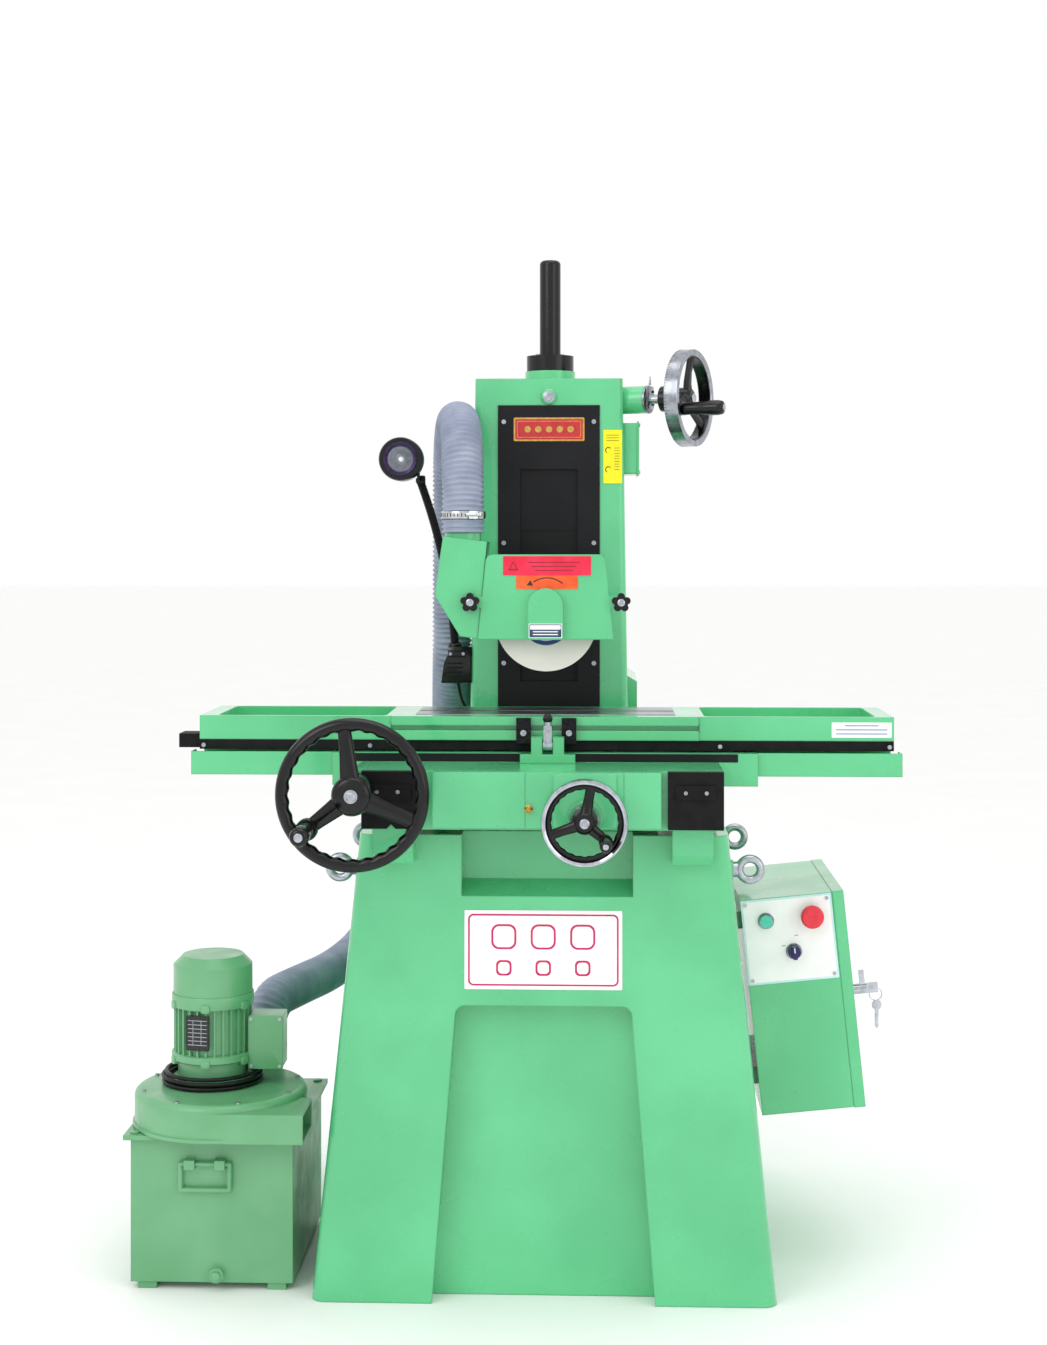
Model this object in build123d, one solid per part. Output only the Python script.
from build123d import *
import math
import os

# Surface grinder with a table of 150 x 450 mm and a wheel of 180 mm.
# X is to the operator's right, Y away from the operator, Z up. The origin is on the floor, midway
# between the four anchor holes of the base. All sizes are in millimetres and angles in degrees.

# ---- fits
RUN = 0.05  # radial clearance of a shaft in its bore
GAP = 0.3  # between faces that slide or swing past each other
BEND_SHARE = 0.45  # of a cord's shorter run, taken up by half its bend

# ---- base casting
BASE_HALF_X = 391
BASE_TOP_HALF_X = 310
BASE_FRONT = -400
BASE_TOP_FRONT = -392
BASE_BACK = 400
BASE_TOP_BACK = 360
BASE_HEIGHT = 784
BASE_WALL = 14
BASE_EDGE_R = 24
ANCHOR_X = 620
ANCHOR_Y = 620
ANCHOR_HOLE_R = 9
FOOT_SIZE = 90
FOOT_THICK = 22
RECESS_DEPTH = 45
RECESS_TOP = 498
RECESS_HALF_LOW = 187
RECESS_HALF_HIGH = 147
RECESS_R = 17
POCKET_X0 = -137
POCKET_X1 = 150
POCKET_BOTTOM = BASE_HEIGHT - 81
POCKET_LIP = BASE_HEIGHT - 106
POCKET_DEPTH = 50
WAY_X = 248
WAY_WIDTH = 68
WAY_RISE = 16
WAY_FRONT = -440
WAY_BACK = -24
WAY_END_DROP = 44
VEE = 10

# ---- lifting eyes
EYE_R = 18
EYE_WIRE_R = 7
EYE_SHANK_R = 8
EYE_SEAT = 4
EYE_Z = BASE_HEIGHT - 66
EYE_Y_FRONT = -325
EYE_Y_REAR = 60

# ---- column
COL_FRONT = 0
COL_BACK = 330
COL_HALF_LOW = 150
COL_HALF_HIGH = 138
COL_TOP = 1580
COL_INNER_HALF = 118
COL_WALL = 14
COL_ROOF = 8
COL_SLOT_HALF = 60
COL_BEAM_Z = 1528
COL_BEAM_SKIN = 4
FLARE_X = 165
FLARE_TOP = 1026
COVER_HALF = 95
COVER_Z0 = 800
COVER_Z1 = 1530
COVER_THICK = 3
SLOT_HALF = 53.5
SLOT_Z0 = 1015
SLOT_Z1 = 1411
LEAF_HALF = 58
LEAF_THICK = 2
LEAF_Y = 8
UPPER_LEAF_Y = LEAF_Y - LEAF_THICK - GAP

# ---- elevating gear
SCREW_Y = 112
SCREW_R = 12.5
SCREW_TOP = 1590
SHELF_Z = 1480
SHELF_THICK = 18
SHELF_HALF_Y = 52
NUT_R = 22
GEAR_Z = 1542
GEAR_PITCH_R = 26
GEAR_SMALL_R = 19.5
GEAR_TEETH = 20
BOSS_R = 48
BOSS_RISE = 21
CAP_R = 45
CAP_RISE = 30
TUBE_R = 20
TUBE_TOP = 1815
TUBE_WALL = 5
ELEV_ANGLE = 25
ELEV_SHAFT_R = 9
ELEV_HOUSING_R = 26
ELEV_HOUSING_0 = 128
ELEV_HOUSING_1 = 207
ELEV_WHEEL_R = 90
ELEV_RIM = 14
ELEV_RIM_WIDTH = 27
ELEV_WHEEL_AT = 274
ELEV_GRIP_OUT = 54
ELEV_GRIP_DOWN = 23
ELEV_GRIP_R = 14
ELEV_GRIP_LENGTH = 84

# ---- wheel head
SPINDLE_Z = 1136.5
SNOUT_R = 50
SNOUT_FRONT = -168
HEAD_HALF = 88
HEAD_Z0 = 1010
HEAD_Z1 = 1258
HEAD_BACK = 84
GUIDE_WIDTH = 38
GUIDE_DEPTH = 16
LUG_Z0 = 1225
LUG_HALF = 34
MOTOR_R = 75
MOTOR_LENGTH = COL_BACK - 130
SPINDLE_R = 17.5
SPINDLE_NOSE_R = 12
WHEEL_R = 90
WHEEL_THICK = 13
WHEEL_Y = -200
WHEEL_BORE_R = 15.875
FLANGE_R = 40
FLANGE_THICK = 8
NUT_THICK = 12
NOSE_END = -240

# ---- guard and dust duct
COVER_FRONT = -240
COVER_SHEET = 3
GUARD_TOP = 1253
GUARD_BOTTOM = 1104
GUARD_TOP_HALF = 104
GUARD_BOTTOM_HALF = 119
GUARD_WALL = 4
BULGE_HALF = 31
BULGE_DEPTH = 14
BULGE_Z = 1163
BULGE_LOW = 1135
KNOB_X = 132
KNOB_Z = 1169
KNOB_R = 17
KNOB_DEPTH = 14
STUD_R = 4
EAR_R = 10
DUCT_BACK = -130
DUCT_WALL = 3
HOSE_R = 38
SPIGOT_R = 32
SPIGOT_X = -148
SPIGOT_Y = -185

# ---- saddle
SADDLE_HALF = 297
SADDLE_FRONT = -450
APRON_FRONT = -470
APRON_X0 = -180
APRON_X1 = 195
APRON_Z0 = 805
LEDGE_Z = 898
SADDLE_BACK = -90
CAVITY_HALF = 196
CAVITY_TOP = 862
CARRIER_HALF = 364
CARRIER_FRONT = -320
CARRIER_Z = 858
CARRIER_TOP = 914
TROUGH_Y0 = -215
TROUGH_Y1 = -165
TROUGH_Z = 876
WIPER_X0 = 206
WIPER_X1 = 297
CLAMP_HALF = 33
CLAMP_Z0 = 853
CLAMP_Z1 = 877
CLAMP_THICK = 3
TRAY_END = 610
TRAY_WALL = 3
TRAY_FRONT = -310
TRAY_Z = 874
STOP_X = 6
STOP_PIVOT_Y = -334
STOP_PIVOT_Z = 927
STOP_TOP = 962

# ---- table
TABLE_HALF = 597
TABLE_FRONT = -300
TABLE_BACK = -90
TABLE_Z = 917
FRONT_WALL_Z = 934
TABLE_TOP = 975
CENTRE_HALF = 264
CENTRE_PROUD = 5
POCKET_FLOOR = 936
RIM = 30
PLATE_HALF = 225
PLATE_Y0 = -270
PLATE_DEPTH = 150
PLATE_THICK = 16
PLATE_TOP = 976
TSLOT_HALF = 7
TSLOT_WIDE = 12
GROOVE_Z = 955
WAY_V_Y = -256
WAY_FLAT_Y = -120
DOG_WIDTH = 25
DOG_X = 36
RACK_PITCH = 5
RACK_X0 = -555
RACK_TEETH = 100
RACK_WIDTH = 20

# ---- table handwheel
TW_X = -304
TW_Z = 867
TW_R = 125
TW_RIM_R = 11.5
TW_Y = -535
TW_HUB_R = 33
TW_HUB_FRONT = TW_Y - 20
TW_HUB_BACK = -482
TW_SHAFT_R = 11
TW_BOSS_R = 32
TW_SPOKE_ANGLE = 217
TW_GRIP_AT = 91
TW_GRIP_R = 16
TW_GRIP_LENGTH = 86
PINION_TEETH = 20

# ---- cross handwheel
CW_X = 70
CW_Z = 824
CW_R = 70
CW_RING = 8
CW_FRONT = -545
CW_BACK = -520
CW_HUB_R = 17
CW_SPOKE_ANGLE = 320
CW_GRIP_AT = 44
CW_GRIP_R = 10
CW_GRIP_LENGTH = 58
CW_SCREW_R = 10
CW_SCREW_BACK = -130
CW_FLANGE_R = 30
CW_FLANGE_FRONT = -482
CROSS_NUT_Y0 = -300
CROSS_NUT_Y1 = -250
CROSS_NUT_HALF = 25
GRIP_STUD_R = 4

# ---- electric cabinet, in its own tilted frame on the base's right side
CAB_Z = 461
CAB_U0 = 15
CAB_U1 = 175
CAB_DOOR_U = 195
CAB_HALF_V = 188
CAB_FRONT = -240
CAB_BACK = 110
CAB_WALL = 2.5
START_U = 56
START_V = 149
STOP_U = 135
STOP_V = 152
SELECT_U = 99
SELECT_V = 92
BUTTON_R = 11
MUSHROOM_R = 20
BUTTON_HOLE_R = 8
LOCK_V = 8
LOCK_Y = -205
LOCK_R = 8
HINGE_U = 185
HINGE_Y = 116
HINGE_R = 4.5
HINGE_PIN_R = 2
HINGE_V = (-120, 80)
HINGE_LENGTH = 40

# ---- work lamp
LAMP_SOCKET = (-178, 27, 1045)
LAMP_SOCKET_HALF = 34
LAMP_ROUTE = [(-177, 26, 1076), (-184, -18, 1240), (-236, -58, 1388)]
LAMP_ARM_R = 8
LAMP_PIVOT = (-236, -58, 1388)
LAMP_X = -268
LAMP_Z = 1426
LAMP_R = 40
LAMP_FRONT = -105
LAMP_BACK = -55

# ---- dust collector
BOX_X0 = -706
BOX_X1 = -428
BOX_Y0 = -349
BOX_Y1 = 10
BOX_Z0 = 12
BOX_TOP = 256
BOX_WALL = 3
LID_OVER = 11
LID_THICK = 8
VOLUTE_X = -567
VOLUTE_Y = -255
VOLUTE_R = 150
VOLUTE_H = 62
VOLUTE_WALL = 4
FAN_R = 112
MOTOR2_X = -587
MOTOR2_Y = -230
MOTOR2_R = 69
MOTOR2_TOP = 472
COWL_TOP = 549
ROTOR_R = 38
BAIL_X = -577
BAIL_Z = 216
BAIL_HALF = 42
BAIL_DROP = 44
BAIL_WIRE_R = 4
COIL_R = 92
COIL_INNER = 78
COIL_H = 26
LEAD_R = 3.5

# ---- routes of what bends
HOSE_UP = [(-148, -185, 1291), (-148, -185, 1497), (-188, 102, 1497), (-188, 102, 1180)]
HOSE_DOWN = [
    (-188, 102, 1180),
    (-188, 102, 1010),
    (-205, 300, 900),
    (-262, 455, 800),
    (-365, 490, 660),
    (-408, 350, 570),
    (-412, 150, 520),
    (-480, 5, 490),
    (-525, -60, 425),
    (-525, -60, 335),
]
LAMP_CABLE = [(-172, 30, 1010.2), (-168, 34, 985), (-160, 42, 964), (-150.3, 48, 951)]
LEAD = [
    (-587, -144, 353),
    (-584, -142, 376),
    (-556, -132, 396),
    (-520, -136, 400),
    (-502, -158, 400),
    (-500, -193.6, 400),
]


def block(x0, x1, y0, y1, z0, z1):
    return Pos((x0 + x1) / 2, (y0 + y1) / 2, (z0 + z1) / 2) * Box(x1 - x0, y1 - y0, z1 - z0)


def rod_y(x, z, y0, y1, r):
    return Pos(x, (y0 + y1) / 2, z) * Rot(90, 0, 0) * Cylinder(r, y1 - y0)


def rod_x(y, z, x0, x1, r):
    return Pos((x0 + x1) / 2, y, z) * Rot(0, 90, 0) * Cylinder(r, x1 - x0)


def rod_z(x, y, z0, z1, r):
    return Pos(x, y, (z0 + z1) / 2) * Cylinder(r, z1 - z0)


def prism_y(points, y0, y1):
    """A solid whose outline in X and Z is the same from y0 to y1."""
    face = Plane.XZ * make_face(Polyline(*points, close=True))
    return Pos(0, y1, 0) * extrude(face, amount=y1 - y0)


def prism_x(points, x0, x1):
    """A solid whose outline in Y and Z is the same from x0 to x1."""
    face = Plane.YZ * make_face(Polyline(*points, close=True))
    return Pos(x0, 0, 0) * extrude(face, amount=x1 - x0)


def frustum(half_low, half_high, y_low, y_high, z0, z1, edge):
    """A casting body between two rectangles with rounded upright edges."""
    low = Plane.XY.offset(z0) * Pos(0, sum(y_low) / 2) * RectangleRounded(2 * half_low, y_low[1] - y_low[0], edge)
    high = Plane.XY.offset(z1) * Pos(0, sum(y_high) / 2) * RectangleRounded(
        2 * half_high, y_high[1] - y_high[0], edge
    )
    return loft([low, high])


def bend_radii(route):
    """The radius at each corner of a route: a share of its shorter run over the tangent of half the turn."""
    points = [Vector(*p) for p in route]
    radii = []
    for a, b, c in zip(points, points[1:], points[2:]):
        shorter = min((b - a).length, (c - b).length)
        turn = (b - a).get_angle(c - b)
        radii.append(BEND_SHARE * shorter / math.tan(math.radians(turn / 2)))
    return radii


def bent_tube(name, route, radius):
    radii = bend_radii(route)
    path = FilletPolyline(*route, radius=radii)
    start = Plane(origin=path @ 0, z_dir=path % 0)
    tube = sweep(start * Circle(radius), path=path)
    section = math.pi * radius**2 * path.length
    print(name, "radii", [round(r) for r in radii], "length", round(path.length), "volume", tube.volume / section)
    return tube


def side_x(z):
    """How far the base's side face is from the middle at a height."""
    return BASE_HALF_X - (BASE_HALF_X - BASE_TOP_HALF_X) * z / BASE_HEIGHT


def column_side(z):
    """How far the column's side face is from the middle at a height."""
    return COL_HALF_LOW - (COL_HALF_LOW - COL_HALF_HIGH) * (z - BASE_HEIGHT) / (COL_TOP - BASE_HEIGHT)


SIDE_TILT = math.degrees(math.atan((BASE_HALF_X - BASE_TOP_HALF_X) / BASE_HEIGHT))
CABINET = Pos(side_x(CAB_Z), 0, CAB_Z) * Rot(0, -SIDE_TILT, 0)
ELEV_DIR = Vector(math.cos(math.radians(ELEV_ANGLE)), -math.sin(math.radians(ELEV_ANGLE)), 0)
ELEV = Location(Plane(origin=(0, SCREW_Y, GEAR_Z), x_dir=(0, 0, 1), z_dir=ELEV_DIR))
SPINDLE = (0, SPINDLE_Z)
TRAPEZOID = [
    (-GUARD_BOTTOM_HALF, GUARD_BOTTOM),
    (GUARD_BOTTOM_HALF, GUARD_BOTTOM),
    (GUARD_TOP_HALF, GUARD_TOP),
    (-GUARD_TOP_HALF, GUARD_TOP),
]


# ---------------------------------------------------------------- base


def base_casting():
    y_low = (BASE_FRONT, BASE_BACK)
    y_high = (BASE_TOP_FRONT, BASE_TOP_BACK)
    body = frustum(BASE_HALF_X, BASE_TOP_HALF_X, y_low, y_high, 0, BASE_HEIGHT, BASE_EDGE_R)
    inner_low = (BASE_FRONT + BASE_WALL, BASE_BACK - BASE_WALL)
    inner_high = (BASE_TOP_FRONT + BASE_WALL, BASE_TOP_BACK - BASE_WALL)
    hollow = frustum(
        BASE_HALF_X - BASE_WALL,
        BASE_TOP_HALF_X - BASE_WALL,
        inner_low,
        inner_high,
        0,
        BASE_HEIGHT - BASE_WALL,
        BASE_EDGE_R - BASE_WALL,
    )
    hollow -= recess(BASE_WALL)
    hollow -= hand_pocket(BASE_WALL)
    body -= recess(0)
    body -= hand_pocket(0)
    body -= hollow
    for sx in (-1, 1):
        for sy in (-1, 1):
            x = sx * ANCHOR_X / 2
            y = sy * ANCHOR_Y / 2
            reach_x = BASE_HALF_X - BASE_WALL / 2 - ANCHOR_X / 2
            x0, x1 = sorted((x - sx * FOOT_SIZE / 2, x + sx * reach_x))
            body += block(x0, x1, y - FOOT_SIZE / 2, y + FOOT_SIZE / 2, 0, FOOT_THICK) & frustum(
                BASE_HALF_X, BASE_TOP_HALF_X, y_low, y_high, 0, BASE_HEIGHT, BASE_EDGE_R
            )
            body -= rod_z(x, y, -1, FOOT_THICK + 1, ANCHOR_HOLE_R)
    for sx in (-1, 1):
        body += cross_way(sx)
    deck_slot = COL_SLOT_HALF + 2
    body -= block(-deck_slot, deck_slot, COL_FRONT + 3, COL_WALL, BASE_HEIGHT - BASE_WALL - 1, BASE_HEIGHT + 1)
    return body


def recess(grow):
    """The knee recess in the base's front, or the wall round it when grown."""
    foot = RECESS_HALF_LOW + grow
    head = RECESS_HALF_HIGH + grow
    top = RECESS_TOP + grow
    shape = prism_y([(-foot, -1), (foot, -1), (head, top), (-head, top)], BASE_FRONT - 1, BASE_FRONT + RECESS_DEPTH + grow)
    return fillet(shape.edges().filter_by(Axis.Y).group_by(Axis.Z)[-1], RECESS_R + grow)


def hand_pocket(grow):
    """The pocket below the cross handwheel, with its sloping floor."""
    back = BASE_TOP_FRONT + POCKET_DEPTH + grow
    front = BASE_FRONT - 1
    outline = [
        (front, POCKET_LIP - grow),
        (back, POCKET_BOTTOM - grow),
        (back, BASE_HEIGHT + 1),
        (front, BASE_HEIGHT + 1),
    ]
    shape = prism_x(outline, POCKET_X0 - grow, POCKET_X1 + grow)
    return shape


def cross_way(sx):
    """One of the two ways along Y that the saddle slides on, the left one a vee."""
    x0 = sx * WAY_X - WAY_WIDTH / 2
    x1 = sx * WAY_X + WAY_WIDTH / 2
    top = BASE_HEIGHT + WAY_RISE
    low = BASE_HEIGHT - WAY_END_DROP
    way = block(x0, x1, WAY_FRONT, WAY_BACK, BASE_HEIGHT, top)
    chin = [(WAY_FRONT, low + 17), (WAY_FRONT, top), (BASE_TOP_FRONT, top), (BASE_TOP_FRONT, low), (WAY_FRONT + 17, low)]
    way += prism_x(chin, x0, x1)
    if sx < 0:
        way += vee(sx * WAY_X, top, 0, WAY_FRONT, WAY_BACK)
    return way


def vee(x, z, grow, y0, y1):
    """The ridge along Y of a vee way, or the groove over it when grown."""
    half = VEE + grow * math.sqrt(2)
    return prism_y([(x - half, z), (x + half, z), (x, z + half)], y0, y1)


def vee_table(y, z, grow, x0, x1):
    """The ridge along X under the table, or the groove below it when grown."""
    half = VEE + grow * math.sqrt(2)
    return prism_x([(y - half, z), (y + half, z), (y, z - half)], x0, x1)


def lifting_eyes():
    eyes = []
    for sx in (-1, 1):
        for y in (EYE_Y_FRONT, EYE_Y_REAR):
            x = side_x(EYE_Z)
            ring_x = x + 8 + EYE_R + EYE_WIRE_R
            ring = Pos(ring_x, y, EYE_Z) * Rot(90, 0, 0) * Torus(EYE_R, EYE_WIRE_R)
            shank = rod_x(y, EYE_Z, x + EYE_SEAT, x + 12, EYE_SHANK_R + 5)
            eye = ring + shank
            eyes.append(eye if sx > 0 else mirror(eye, Plane.YZ))
    return Compound(children=[e.solid() for e in eyes])


def eye_seats():
    """Flat bosses on the base's sides that the lifting eyes screw into."""
    seats = []
    for sx in (-1, 1):
        for y in (EYE_Y_FRONT, EYE_Y_REAR):
            x = side_x(EYE_Z)
            seat = rod_x(y, EYE_Z, x - BASE_WALL, x + EYE_SEAT, EYE_SHANK_R + 8)
            seats.append(seat if sx > 0 else mirror(seat, Plane.YZ))
    return seats


# ---------------------------------------------------------------- column


def column_casting():
    y = (COL_FRONT, COL_BACK)
    body = frustum(COL_HALF_LOW, COL_HALF_HIGH, y, y, BASE_HEIGHT, COL_TOP, 12)
    flare = [
        (COL_INNER_HALF, BASE_HEIGHT),
        (FLARE_X, BASE_HEIGHT),
        (FLARE_X, FLARE_TOP - 14),
        (COL_HALF_LOW - 8, FLARE_TOP),
        (COL_INNER_HALF, FLARE_TOP),
    ]
    body += prism_y(flare, COL_FRONT + 40, COL_BACK)
    roof = COL_TOP - COL_ROOF
    body -= block(-COL_INNER_HALF, COL_INNER_HALF, COL_WALL, COL_BACK - COL_WALL, BASE_HEIGHT - 1, roof)
    body -= block(-COL_SLOT_HALF, COL_SLOT_HALF, COL_FRONT - 1, COL_WALL + 1, BASE_HEIGHT - 1, COL_BEAM_Z)
    body -= block(-COL_SLOT_HALF, COL_SLOT_HALF, COL_BEAM_SKIN, COL_WALL + 1, COL_BEAM_Z - 1, roof)
    for sx in (-1, 1):
        inner, outer = sorted((sx * (COL_INNER_HALF - GUIDE_WIDTH - 2), sx * COL_INNER_HALF))
        body += block(inner, outer, COL_WALL, COL_WALL + GUIDE_DEPTH, BASE_HEIGHT, roof)
    shelf = (SCREW_Y - SHELF_HALF_Y, SCREW_Y + SHELF_HALF_Y)
    body += block(-COL_INNER_HALF, COL_INNER_HALF, *shelf, SHELF_Z, SHELF_Z + SHELF_THICK)
    body += rod_z(0, SCREW_Y, COL_TOP, COL_TOP + BOSS_RISE, BOSS_R)
    body -= rod_z(0, SCREW_Y, SHELF_Z - 1, SHELF_Z + SHELF_THICK + 1, NUT_R + RUN)
    body -= rod_z(0, SCREW_Y, roof - 1, COL_TOP + BOSS_RISE + 1, SCREW_R + 3)
    body -= ELEV * rod_z(0, 0, ELEV_HOUSING_0 - 20, ELEV_HOUSING_1, ELEV_HOUSING_R)
    return body


def column_front_cover():
    y = COL_FRONT
    plate = block(-COVER_HALF, COVER_HALF, y - COVER_THICK, y, COVER_Z0, COVER_Z1)
    return plate - block(-SLOT_HALF, SLOT_HALF, y - COVER_THICK - 1, y + 1, SLOT_Z0, SLOT_Z1)


def upper_leaf():
    """The upper leaf of the slot's telescopic cover, which follows the head at half its speed."""
    z0 = SPINDLE_Z + SNOUT_R + 111
    return block(-LEAF_HALF, LEAF_HALF, UPPER_LEAF_Y, UPPER_LEAF_Y + LEAF_THICK, z0, SLOT_Z1 + 35)


def main_leaf():
    """The leaf behind it, which rides on the spindle snout."""
    leaf = block(-LEAF_HALF, LEAF_HALF, LEAF_Y, LEAF_Y + LEAF_THICK, BASE_HEIGHT + 16, SLOT_Z1 - 66)
    return leaf - rod_y(*SPINDLE, LEAF_Y - 1, LEAF_Y + LEAF_THICK + 1, SNOUT_R)


def screw_top_cover():
    z = COL_TOP + BOSS_RISE
    body = rod_z(0, SCREW_Y, z, z + CAP_RISE, CAP_R)
    body += rod_z(0, SCREW_Y, z + CAP_RISE, TUBE_TOP, TUBE_R)
    body = fillet(body.edges().group_by(Axis.Z)[-1], 8)
    return body - rod_z(0, SCREW_Y, z - 1, TUBE_TOP - TUBE_WALL, TUBE_R - TUBE_WALL)


def elevating_shaft_housing():
    body = rod_z(0, 0, ELEV_HOUSING_0, ELEV_HOUSING_1, ELEV_HOUSING_R)
    body -= rod_z(0, 0, ELEV_HOUSING_0 - 1, ELEV_HOUSING_1 + 1, ELEV_SHAFT_R + RUN)
    return ELEV * body


def bevel_gear(bore, phase):
    """A mitre gear with its pitch apex at the origin and its teeth facing the apex, axis +Z."""
    module = 2 * GEAR_PITCH_R / GEAR_TEETH
    tip = 0.6 * module
    root = 0.7 * module
    s = math.sqrt(0.5)
    big = GEAR_PITCH_R
    small = GEAR_SMALL_R
    outline = [
        (bore, big + 6),
        (big - root * s, big + 6),
        (big - root * s, big + root * s),
        (small - root * s, small + root * s),
        (bore, small + root * s),
    ]
    gear = revolve(Plane.XZ * make_face(Polyline(*outline, close=True)), Axis.Z)
    half = 0.16 * math.pi * module
    for i in range(GEAR_TEETH):
        sections = []
        for r in (small, big):
            k = r / GEAR_PITCH_R
            base = Plane(
                origin=(r, 0, r),
                x_dir=(0, -1, 0),
                z_dir=(s, 0, s),
            )
            tooth = Polyline(
                (-half * 1.3 * k, -root * k - 0.4),
                (half * 1.3 * k, -root * k - 0.4),
                (half * 0.8 * k, tip * k),
                (-half * 0.8 * k, tip * k),
                close=True,
            )
            sections.append(base * make_face(tooth))
        gear += Rot(0, 0, phase + i * 360 / GEAR_TEETH) * loft(sections)
    return gear


def elevating_nut_gear():
    facing_up = Location(Plane(origin=(0, SCREW_Y, GEAR_Z), x_dir=ELEV_DIR, z_dir=(0, 0, -1)))
    gear = facing_up * bevel_gear(SCREW_R + RUN, 0)
    hub = rod_z(0, SCREW_Y, SHELF_Z - 4, GEAR_Z - GEAR_PITCH_R - 5, NUT_R)
    hub -= rod_z(0, SCREW_Y, SHELF_Z - 5, GEAR_Z - GEAR_PITCH_R - 4, SCREW_R + RUN)
    return gear + hub


def elevating_shaft():
    gear = bevel_gear(ELEV_SHAFT_R - 1, 180 / GEAR_TEETH)
    shaft = rod_z(0, 0, GEAR_SMALL_R + 1, ELEV_WHEEL_AT + 10, ELEV_SHAFT_R)
    return ELEV * (shaft + gear)


def elevating_handwheel():
    z = ELEV_WHEEL_AT
    wheel = rod_z(0, 0, z, z + ELEV_RIM_WIDTH, ELEV_WHEEL_R)
    wheel -= rod_z(0, 0, z - 1, z + ELEV_RIM_WIDTH + 1, ELEV_WHEEL_R - ELEV_RIM)
    wheel += rod_z(0, 0, z + 4, z + 12, ELEV_WHEEL_R - ELEV_RIM + 1)
    for k in range(3):
        wheel -= Rot(0, 0, 60 + 120 * k) * Pos(48, 0, z + 8) * Cylinder(19, 20)
    wheel += rod_z(0, 0, z - 40, z + 20, 20)
    wheel -= rod_z(0, 0, z - 41, z + 10, ELEV_SHAFT_R)
    wheel += elev_grip_place() * rod_z(0, 0, z + 4, z + 21, 13)
    wheel += elev_grip_place() * rod_z(0, 0, z + 21, z + 21 + ELEV_GRIP_LENGTH - 10, GRIP_STUD_R)
    return ELEV * wheel


def elev_grip_place():
    return Pos(-ELEV_GRIP_DOWN, ELEV_GRIP_OUT, 0)


def revolving_grip(r, length):
    """A turned grip, open at its foot, that spins on the stud of its handwheel; its axis is +Z."""
    grip = Pos(0, 0, length / 2) * Cylinder(r, length)
    grip = fillet(grip.edges().group_by(Axis.Z)[-1], r * 0.45)
    return grip - Pos(0, 0, (length - 8) / 2) * Cylinder(GRIP_STUD_R + RUN, length - 8)


def elevating_handwheel_grip():
    foot = Pos(0, 0, ELEV_WHEEL_AT + 21 + GAP)
    return ELEV * elev_grip_place() * foot * revolving_grip(ELEV_GRIP_R, ELEV_GRIP_LENGTH)


# ---------------------------------------------------------------- wheel head


def wheel_head_slide():
    """The head's slide inside the column with the spindle snout that comes out through its slot."""
    front = COL_WALL + GUIDE_DEPTH + GAP
    body = block(-HEAD_HALF, HEAD_HALF, front, HEAD_BACK, HEAD_Z0, HEAD_Z1)
    tongue = COL_INNER_HALF - GUIDE_WIDTH - 2 - GAP
    body += block(-tongue, tongue, COL_WALL + 2, front, HEAD_Z0, HEAD_Z1)
    body += rod_y(*SPINDLE, SNOUT_FRONT, front, SNOUT_R)
    body += block(-LUG_HALF, LUG_HALF, HEAD_BACK, SCREW_Y + 30, LUG_Z0, HEAD_Z1)
    body -= rod_y(*SPINDLE, SNOUT_FRONT - 1, HEAD_BACK + 1, SPINDLE_R + RUN)
    return body - rod_z(0, SCREW_Y, LUG_Z0 - 1, HEAD_Z1 + 1, SCREW_R)


def elevating_screw():
    return rod_z(0, SCREW_Y, LUG_Z0, SCREW_TOP, SCREW_R)


def spindle_motor():
    body = rod_y(*SPINDLE, HEAD_BACK, HEAD_BACK + MOTOR_LENGTH, MOTOR_R)
    return body - rod_y(*SPINDLE, HEAD_BACK - 1, HEAD_BACK + 60, SPINDLE_R + RUN)


def spindle_shaft():
    shaft = rod_y(*SPINDLE, -182, HEAD_BACK + 50, SPINDLE_R)
    return shaft + rod_y(*SPINDLE, NOSE_END, -182, SPINDLE_NOSE_R)


def wheel_flange():
    """The wheel adapter with its hub, the front flange and the left-hand nut."""
    front = WHEEL_Y - WHEEL_THICK / 2
    back = WHEEL_Y + WHEEL_THICK / 2
    adapter = rod_y(*SPINDLE, back, -182, FLANGE_R) + rod_y(*SPINDLE, front, back, WHEEL_BORE_R - 0.02)
    adapter -= rod_y(*SPINDLE, front - 1, -181, SPINDLE_NOSE_R)
    clamp = rod_y(*SPINDLE, front - FLANGE_THICK, front, FLANGE_R - 4)
    face = front - FLANGE_THICK
    hexagon = Pos(0, face, SPINDLE_Z) * Rot(90, 0, 0) * extrude(RegularPolygon(20, 6), NUT_THICK)
    bore = rod_y(*SPINDLE, face - NUT_THICK - 1, front + 1, SPINDLE_NOSE_R)
    return Compound(children=[(adapter).solid(), (clamp + hexagon - bore).solid()])


def grinding_wheel():
    y0 = WHEEL_Y - WHEEL_THICK / 2
    y1 = WHEEL_Y + WHEEL_THICK / 2
    return rod_y(*SPINDLE, y0, y1, WHEEL_R) - rod_y(*SPINDLE, y0 - 1, y1 + 1, WHEEL_BORE_R)


def inset(points, grow):
    """The guard's trapezoid, taken in or let out at its sides and top."""
    return [
        (x - math.copysign(grow, x), z if z == GUARD_BOTTOM else z - grow) for x, z in points
    ]


def dust_window():
    """The opening from the guard into the duct, through both walls."""
    return block(-GUARD_BOTTOM_HALF - 12, -GUARD_TOP_HALF + 14, -228, -182, 1128, 1215)


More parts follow.
